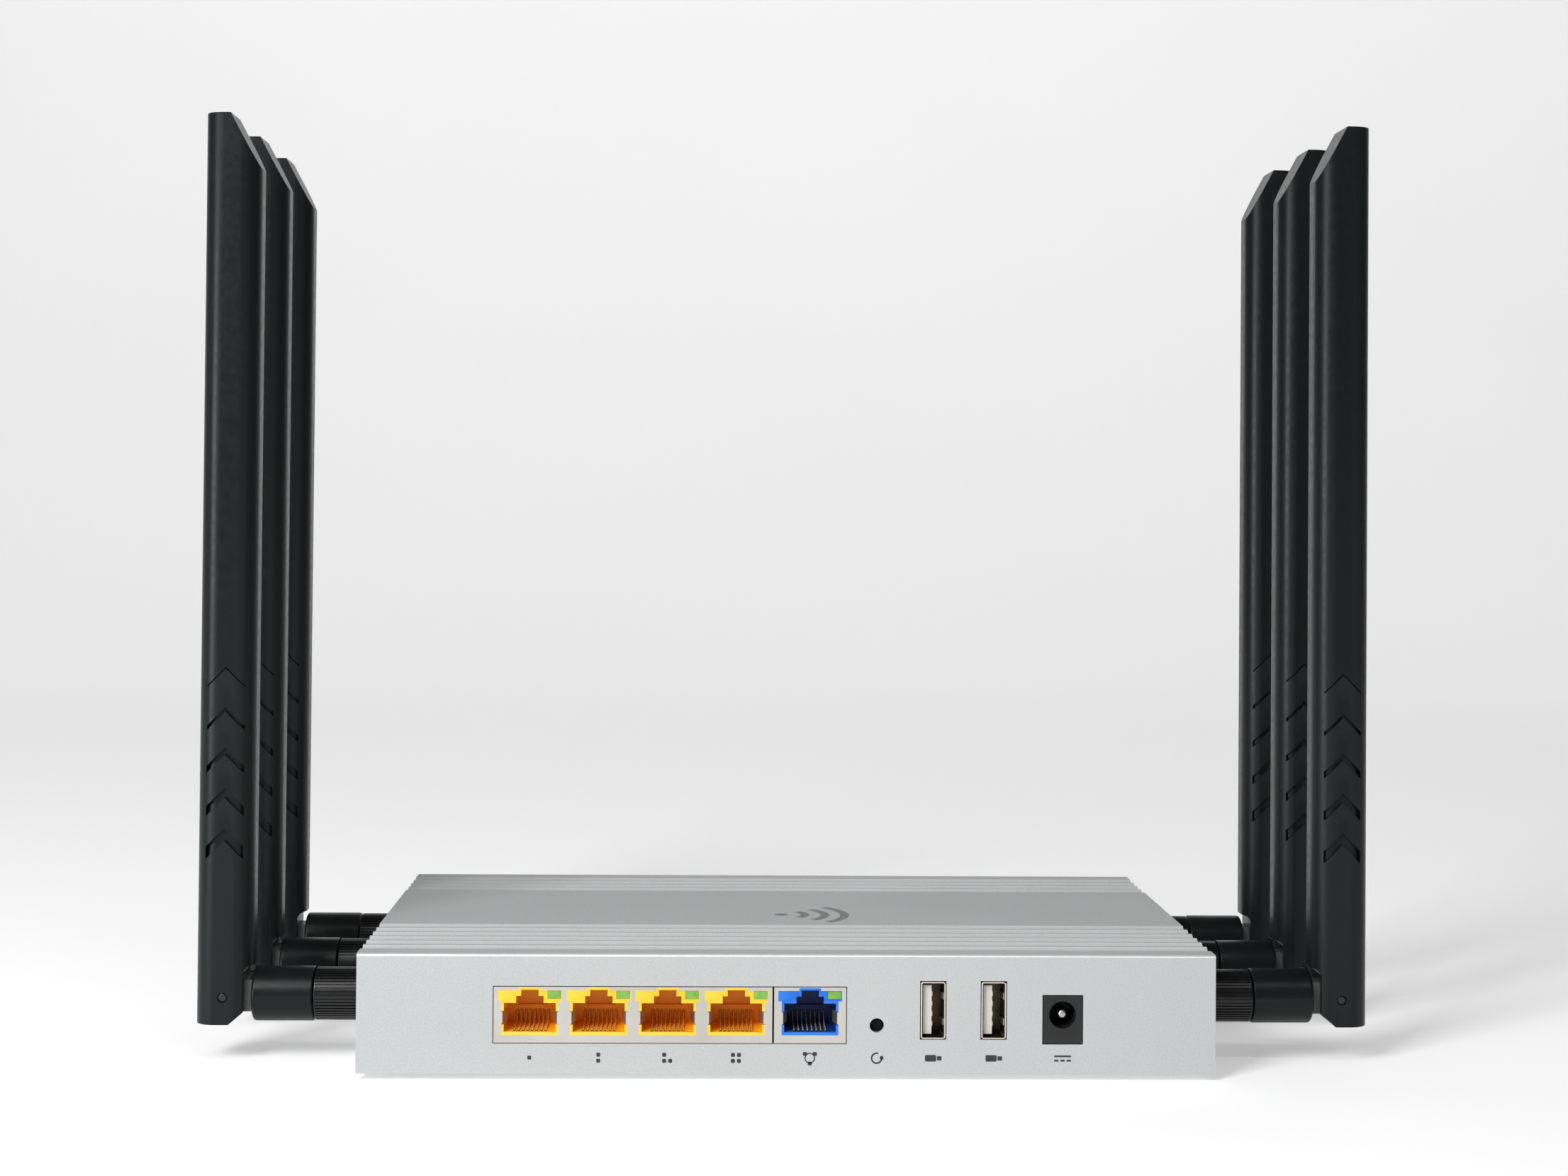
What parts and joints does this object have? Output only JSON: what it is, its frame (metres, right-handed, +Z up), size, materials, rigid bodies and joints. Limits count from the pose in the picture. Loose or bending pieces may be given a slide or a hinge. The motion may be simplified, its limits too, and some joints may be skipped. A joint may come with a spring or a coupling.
{
  "type": "wireless router",
  "caption": "Desktop wireless router: ribbed metal case with a rear socket panel and hinged paddle antennas that swivel and tilt at both ends.",
  "frame": {"origin": "middle of the underside, on the surface that the feet stand on", "axes": "+X along the case, -Y out of the socket panel, +Z up"},
  "size_m": [0.2786, 0.126, 0.2244],
  "materials": {
    "case_metal": "fine sand-blasted silver grey",
    "antenna_black": "satin black",
    "knurl_black": "semi-gloss black",
    "pin_black": "blackened steel",
    "steel": "zinc plated",
    "rubber": "matt",
    "board_green": "solder mask over glass fibre board",
    "brass": "turned",
    "chip_black": "moulded",
    "sink_aluminium": "extruded",
    "tinned_steel": "satin tin plate",
    "clear_plastic": "clear",
    "yellow_plastic": "moulded",
    "blue_plastic": "moulded",
    "gold_contact": "gold flash",
    "green_lens": "translucent",
    "usb_steel": "nickel plate",
    "white_plastic": "moulded",
    "black_plastic": "moulded",
    "lead_black": "cable jacket"
  },
  "bodies": {
    "case": {"top_cover": "case_metal", "bottom_plate": "case_metal", "end_plate_left": "case_metal", "end_plate_right": "case_metal", "case_screws": "steel", "rubber_feet": "rubber", "main_board": "board_green", "board_standoffs": "brass", "board_screws": "steel", "board_chips": "chip_black", "heat_sink": "sink_aluminium", "rf_shield_cans": "tinned_steel", "status_light_pipes": "clear_plastic", "lan_jack_shield": "tinned_steel", "lan_jack_housings": "yellow_plastic", "wan_jack_shield": "tinned_steel", "wan_jack_housing": "blue_plastic", "jack_contacts": "gold_contact", "jack_light_pipes": "green_lens", "usb_shells": "usb_steel", "usb_tongues": "white_plastic", "usb_contacts": "gold_contact", "dc_jack_body": "black_plastic", "dc_jack_pin": "tinned_steel", "reset_switch": "black_plastic", "antenna_jacks": "brass", "antenna_jack_nuts": "brass", "antenna_jack_cores": "white_plastic", "coax_leads": "lead_black"},
    "reset_button": {"reset_button": "black_plastic"},
    "collar_left_rear": {"collar_left_rear": "knurl_black"},
    "barrel_left_rear": {"barrel_left_rear": "antenna_black"},
    "blade_left_rear": {"blade_left_rear": "antenna_black", "hinge_pin_left_rear": "pin_black", "radiator_left_rear": "brass"},
    "collar_left_middle": {"collar_left_middle": "knurl_black"},
    "barrel_left_middle": {"barrel_left_middle": "antenna_black"},
    "blade_left_middle": {"blade_left_middle": "antenna_black", "hinge_pin_left_middle": "pin_black", "radiator_left_middle": "brass"},
    "collar_left_front": {"collar_left_front": "knurl_black"},
    "barrel_left_front": {"barrel_left_front": "antenna_black"},
    "blade_left_front": {"blade_left_front": "antenna_black", "hinge_pin_left_front": "pin_black", "radiator_left_front": "brass"},
    "collar_right_rear": {"collar_right_rear": "knurl_black"},
    "barrel_right_rear": {"barrel_right_rear": "antenna_black"},
    "blade_right_rear": {"blade_right_rear": "antenna_black", "hinge_pin_right_rear": "pin_black", "radiator_right_rear": "brass"},
    "collar_right_middle": {"collar_right_middle": "knurl_black"},
    "barrel_right_middle": {"barrel_right_middle": "antenna_black"},
    "blade_right_middle": {"blade_right_middle": "antenna_black", "hinge_pin_right_middle": "pin_black", "radiator_right_middle": "brass"},
    "collar_right_front": {"collar_right_front": "knurl_black"},
    "barrel_right_front": {"barrel_right_front": "antenna_black"},
    "blade_right_front": {"blade_right_front": "antenna_black", "hinge_pin_right_front": "pin_black", "radiator_right_front": "brass"}
  },
  "joints": [
    {"name": "reset_press", "type": "slide", "parent": "case", "child": "reset_button", "axis": [0, 1, 0], "range_m": [0, 0.0005], "stiffness_N_per_m": 400},
    {"name": "collar_turn_left_rear", "type": "hinge", "parent": "case", "child": "collar_left_rear", "pos_m": [-0.1055, -0.0397, 0.0154], "axis": [1, 0, 0], "continuous": true},
    {"name": "barrel_swivel_left_rear", "type": "hinge", "parent": "case", "child": "barrel_left_rear", "pos_m": [-0.119, -0.0397, 0.0154], "axis": [1, 0, 0], "range_deg": [-6, 90]},
    {"name": "blade_tilt_left_rear", "type": "hinge", "parent": "barrel_left_rear", "child": "blade_left_rear", "pos_m": [-0.1327, -0.0397, 0.0154], "axis": [0, -1, 0], "range_deg": [0, 90]},
    {"name": "collar_turn_left_middle", "type": "hinge", "parent": "case", "child": "collar_left_middle", "pos_m": [-0.1055, 0, 0.0154], "axis": [1, 0, 0], "continuous": true},
    {"name": "barrel_swivel_left_middle", "type": "hinge", "parent": "case", "child": "barrel_left_middle", "pos_m": [-0.119, 0, 0.0154], "axis": [1, 0, 0], "range_deg": [-6, 6]},
    {"name": "blade_tilt_left_middle", "type": "hinge", "parent": "barrel_left_middle", "child": "blade_left_middle", "pos_m": [-0.1327, 0, 0.0154], "axis": [0, -1, 0], "range_deg": [0, 90]},
    {"name": "collar_turn_left_front", "type": "hinge", "parent": "case", "child": "collar_left_front", "pos_m": [-0.1055, 0.0397, 0.0154], "axis": [1, 0, 0], "continuous": true},
    {"name": "barrel_swivel_left_front", "type": "hinge", "parent": "case", "child": "barrel_left_front", "pos_m": [-0.119, 0.0397, 0.0154], "axis": [1, 0, 0], "range_deg": [-90, 6]},
    {"name": "blade_tilt_left_front", "type": "hinge", "parent": "barrel_left_front", "child": "blade_left_front", "pos_m": [-0.1327, 0.0397, 0.0154], "axis": [0, -1, 0], "range_deg": [0, 90]},
    {"name": "collar_turn_right_rear", "type": "hinge", "parent": "case", "child": "collar_right_rear", "pos_m": [0.1055, -0.0397, 0.0154], "axis": [1, 0, 0], "continuous": true},
    {"name": "barrel_swivel_right_rear", "type": "hinge", "parent": "case", "child": "barrel_right_rear", "pos_m": [0.119, -0.0397, 0.0154], "axis": [1, 0, 0], "range_deg": [-6, 90]},
    {"name": "blade_tilt_right_rear", "type": "hinge", "parent": "barrel_right_rear", "child": "blade_right_rear", "pos_m": [0.1327, -0.0397, 0.0154], "axis": [0, 1, 0], "range_deg": [0, 90]},
    {"name": "collar_turn_right_middle", "type": "hinge", "parent": "case", "child": "collar_right_middle", "pos_m": [0.1055, 0, 0.0154], "axis": [1, 0, 0], "continuous": true},
    {"name": "barrel_swivel_right_middle", "type": "hinge", "parent": "case", "child": "barrel_right_middle", "pos_m": [0.119, 0, 0.0154], "axis": [1, 0, 0], "range_deg": [-6, 6]},
    {"name": "blade_tilt_right_middle", "type": "hinge", "parent": "barrel_right_middle", "child": "blade_right_middle", "pos_m": [0.1327, 0, 0.0154], "axis": [0, 1, 0], "range_deg": [0, 90]},
    {"name": "collar_turn_right_front", "type": "hinge", "parent": "case", "child": "collar_right_front", "pos_m": [0.1055, 0.0397, 0.0154], "axis": [1, 0, 0], "continuous": true},
    {"name": "barrel_swivel_right_front", "type": "hinge", "parent": "case", "child": "barrel_right_front", "pos_m": [0.119, 0.0397, 0.0154], "axis": [1, 0, 0], "range_deg": [-90, 6]},
    {"name": "blade_tilt_right_front", "type": "hinge", "parent": "barrel_right_front", "child": "blade_right_front", "pos_m": [0.1327, 0.0397, 0.0154], "axis": [0, 1, 0], "range_deg": [0, 90]}
  ]
}
